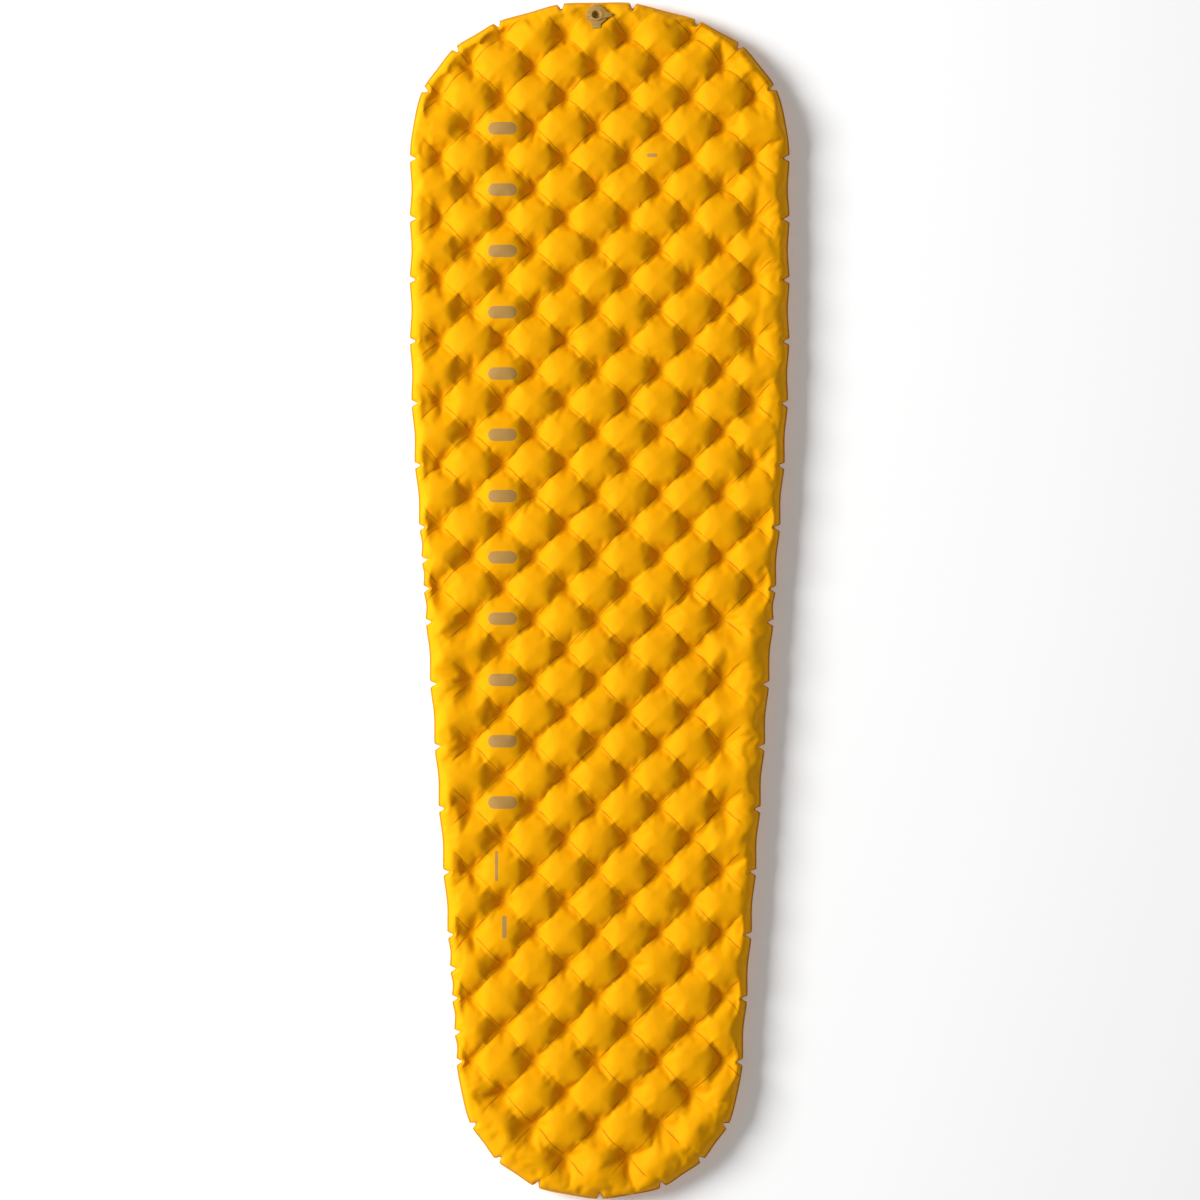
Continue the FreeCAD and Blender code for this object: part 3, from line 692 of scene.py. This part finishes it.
def new_material(name, base, roughness, **constants):
    """A plain material, its shader and a wrapped socket of its Object coordinates."""
    material = bpy.data.materials.new(name)
    material.use_nodes = True
    material.diffuse_color = base
    tree = material.node_tree
    shader = tree.nodes["Principled BSDF"]
    shader.inputs["Base Color"].default_value = base
    shader.inputs["Roughness"].default_value = roughness
    for socket, value in constants.items():
        shader.inputs[socket.replace("_", " ")].default_value = value
    place = Shade(tree, None).node("TexCoord", output=3)
    return material, shader, place


def link(shade, shader, socket):
    shade.tree.links.new(shade.socket, shader.inputs[socket])


FABRIC = colour(0.85, 0.368, 0.0)
FABRIC_DEEP = colour(0.80, 0.33, 0.0)
# Painted shade: a dark colour laid along the creases, standing in for the shade that falls in them.
CREASE_SHADE_COLOUR = colour(0.42, 0.12, 0.0)
SEAM_COLOUR = colour(0.62, 0.27, 0.01)
INK = colour(0.36, 0.22, 0.075)
VALVE_COLOUR = colour(0.42, 0.245, 0.06)
SILICONE = colour(0.72, 0.70, 0.64)

# A row of plain ink bars runs down the top fabric, with two thin ones below it and one across.
BAR_SIDE, BAR_FIRST, BAR_STEP, BAR_COUNT = -0.148, 0.718, 0.0933, 12
BAR_SIZE = (0.044, 0.019)
THIN_BARS = (((-0.157, -0.405), (0.005, 0.046)), ((-0.145, -0.498), (0.007, 0.034)),
             ((0.080, 0.677), (0.016, 0.006)))


def bar(across, along, size):
    """1 inside a bar with rounded ends, centred where both sockets are 0."""
    radius = min(size) / 2
    past = [(socket.math("ABSOLUTE") - (side / 2 - radius)).math("MAXIMUM", 0.0)
            for socket, side in ((across, size[0]), (along, size[1]))]
    reach = (past[0] * past[0] + past[1] * past[1]).math("SQRT")
    return 1 - reach.step(radius - 0.4 * MM, radius + 0.4 * MM)


def print_mask(place):
    """1 where the plain ink bars are."""
    across, along = (place.node("SeparateXYZ", values={0: place}, output=axis) for axis in (0, 1))
    lowest = BAR_FIRST - BAR_STEP * (BAR_COUNT - 1)
    row = (along - (lowest - BAR_STEP / 2)).math("PINGPONG", BAR_STEP / 2)
    in_run = (along.step(lowest - BAR_STEP / 2, lowest - BAR_STEP / 2 + MM)
              * (1 - along.step(BAR_FIRST + BAR_STEP / 2 - MM, BAR_FIRST + BAR_STEP / 2)))
    mask = bar(across - BAR_SIDE, row - BAR_STEP / 2, BAR_SIZE) * in_run
    for (x, y), size in THIN_BARS:
        mask = mask.math("MAXIMUM", bar(across - x, along - y, size))
    return mask


CREASE_WIDTH = 0.055                   # in weld columns
CREASE_BOW = 0.07
CREASE_WANDER = 0.09
CREASE_SHADE_SHARE = 0.8                      # how much of the painted crease shade shows
CREASE_DEPTH = 6.0                     # against the crumples' height, in the bump
CLOUD_TINT = 0.35                      # how much of the deeper colour shows in the clouds
INK_COVER = 0.88


def crease_mask(place):
    """1 along the thin creases that run from weld to weld, bowed towards the head end. It sets both the
    painted crease shade and the creases' dent in the bump.
    """
    lattice = place.node("Attribute", {"attribute_name": "lattice"}, output=1)
    column, row, reach = (lattice.node("SeparateXYZ", values={0: lattice}, output=axis) for axis in range(3))
    bow = column.math("PINGPONG", 1.0)
    row = row - (bow * (1 - bow)) * (4 * CREASE_BOW)
    wander = place.node("TexNoise", values={"Vector": place, "Scale": 38.0, "Detail": 1.0}) - 0.5
    creases = []
    for slanted in (column + row, column - row):
        away = ((slanted + wander * CREASE_WANDER).math("PINGPONG", 1.0)).math("ABSOLUTE")
        creases.append(1 - away.step(0.0, CREASE_WIDTH))
    strength = place.node("TexNoise", values={"Vector": place, "Scale": 16.0, "Detail": 1.0}).step(0.3, 0.55)
    return creases[0].math("MAXIMUM", creases[1]) * reach * (strength * 0.65 + 0.35)


def fabric(name, printed):
    """Coated nylon: matt, finely woven, a little cloudy in colour, with painted shade darkening it along its
    creases.
    """
    material, shader, place = new_material(name, FABRIC, 0.68, Specular_IOR_Level=0.05)
    cloud = place.node("TexNoise", values={"Vector": place, "Scale": 9.0, "Detail": 3.0})
    tint = (cloud.step(0.3, 0.75) * CLOUD_TINT).mixed(FABRIC, FABRIC_DEEP)
    crease = crease_mask(place)
    # Painted shade: the base colour is darkened along the creases, where shade would fall.
    tint = (crease * CREASE_SHADE_SHARE).mixed(tint, CREASE_SHADE_COLOUR)
    if printed:
        tint = (print_mask(place) * INK_COVER).mixed(tint, INK)
    link(tint, shader, "Base Color")
    warp = place.node("TexWave", {"bands_direction": "X"}, {"Vector": place, "Scale": 420.0})
    weft = place.node("TexWave", {"bands_direction": "Y"}, {"Vector": place, "Scale": 420.0}, 1)
    crumple = place.node("TexNoise", values={"Vector": place, "Scale": 70.0, "Detail": 4.0})
    height = (warp + weft) * 0.1 + crumple - crease * CREASE_DEPTH
    link(place.node("Bump", values={"Strength": 0.12, "Distance": MM, "Height": height}), shader, "Normal")
    return material


def seam_material():
    material, shader, place = new_material("welded seam", SEAM_COLOUR, 0.45, Specular_IOR_Level=0.4)
    press = place.node("TexWave", {"bands_direction": "DIAGONAL"}, {"Vector": place, "Scale": 160.0}, 1)
    link(place.node("Bump", values={"Strength": 0.25, "Distance": 0.3 * MM, "Height": press}),
         shader, "Normal")
    return material


def plastic():
    """Moulded satin plastic of the valve."""
    material, shader, place = new_material("valve plastic", VALVE_COLOUR, 0.38, Specular_IOR_Level=0.5)
    grain = place.node("TexNoise", values={"Vector": place, "Scale": 900.0, "Detail": 2.0})
    link(place.node("Bump", values={"Strength": 0.08, "Distance": 0.2 * MM, "Height": grain}),
         shader, "Normal")
    return material


def silicone():
    material, _, _ = new_material("silicone", SILICONE, 0.45, Specular_IOR_Level=0.45)
    return material


# ---------------------------------------------------------------- put together

def put(piece, material, slot, body, *nodes):
    """Gives a piece its finish and its body, in place of the CAD nodes that it stands for."""
    piece.data.materials.clear()
    piece.data.materials.append(material)
    if nodes:
        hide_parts(*nodes)
    if body:
        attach(piece, body)
    return piece


def smooth_all_over(piece):
    make_active(piece)
    bpy.ops.object.shade_smooth()


top, bottom, seam = top_fabric(), bottom_fabric(), seam_band()
top_material, bottom_material = fabric("top fabric", True), fabric("bottom fabric", False)
smooth_all_over(top)
smooth_all_over(bottom)
put(top, top_material, "top_fabric", "pad", "top_sheet")
put(bottom, bottom_material, "bottom_fabric", "pad", "bottom_sheet")
put(seam, seam_material(), "seam", "pad", "edge_seam")
welds = frame["nodes"]["spot_welds"]
welds.data.materials.clear()
welds.data.materials.append(bottom_material)

plastic_finish, silicone_finish = plastic(), silicone()
put(finished_copy("valve_base", "valve_body", 0.35 * MM), plastic_finish, "valve_plastic",
    "pad", "valve_base")
put(finished_copy("deflate_cap", "wide_cap", 0.35 * MM), plastic_finish, "valve_plastic",
    "deflate_cap", "deflate_cap")
put(finished_copy("inflate_cap", "small_cap", 0.3 * MM), plastic_finish, "valve_plastic",
    "inflate_cap", "inflate_cap")
put(finished_copy("check_flap", "flap", 0.15 * MM), silicone_finish, "silicone",
    "check_flap", "check_flap")
wide_hinge = put(deflate_strap(), plastic_finish, "valve_plastic", None, "deflate_strap")
in_valve(0, DEFLATE_REACH, 0.7 * MM)
in_valve(0, DEFLATE_REACH, 3.5 * MM)
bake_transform(wide_hinge)
small_hinge = put(inflate_strap(), plastic_finish, "valve_plastic", None, "inflate_strap")
in_valve(-13.2 * MM, 0, 3.9 * MM)
in_valve(-11.2 * MM, 0, 5.05 * MM)
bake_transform(small_hinge)

# ---------------------------------------------------------------- floor, light and camera


def emitting(name, size, place, power, aim=(0, 0, 0)):
    """A soft square lamp that faces a point."""
    deselect_all()
    bpy.ops.object.light_add(type="AREA", location=place)
    lamp = bpy.context.object
    lamp.name, lamp.data.size, lamp.data.energy = name, size, power
    lamp.rotation_euler = (Vector(aim) - Vector(place)).to_track_quat("-Z", "Y").to_euler()


deselect_all()
bpy.ops.mesh.primitive_plane_add(size=60, location=(0, 0, -0.4 * MM))
floor = bpy.context.object
floor.name = "floor"
floor_material, _, _ = new_material("pale floor", colour(0.92, 0.92, 0.92), 0.9,
                                    Specular_IOR_Level=0.1, Emission_Color=colour(1, 1, 1),
                                    Emission_Strength=0.12)
floor.data.materials.append(floor_material)

emitting("key", 3.4, (-6.2, 1.4, 4.2), 860)
emitting("fill", 4, (2, -1.5, 6), 10)

world = bpy.data.worlds.new("studio")
bpy.context.scene.world = world
world.use_nodes = True
sky = world.node_tree.nodes["Background"]
sky.inputs["Color"].default_value = (1, 1, 1, 1)
# The sky is brighter near the horizon than overhead, so that the floor ends in a pale background.
direction = Shade(world.node_tree, None).node("TexCoord")
height = direction.node("SeparateXYZ", values={0: direction}, output=2)
link(height.node("MapRange", {"interpolation_type": "SMOOTHSTEP"},
                 {"Value": height, "From Min": 0.05, "From Max": 0.5, "To Min": 0.8, "To Max": 0.2}),
     sky, "Strength")
bpy.context.scene.view_settings.view_transform = "Standard"

CAMERA_HEIGHT = 6
VIEW_WIDTH = 1.833                     # what the picture takes in, level with the pad
deselect_all()
bpy.ops.object.camera_add(location=(0.5 * MM, 0, CAMERA_HEIGHT), rotation=(0, 0, 0))
camera = bpy.context.object
camera.data.sensor_width = 36
camera.data.lens = 36 * (CAMERA_HEIGHT - MID) / VIEW_WIDTH
camera.data.clip_end = 100
bpy.context.scene.camera = camera
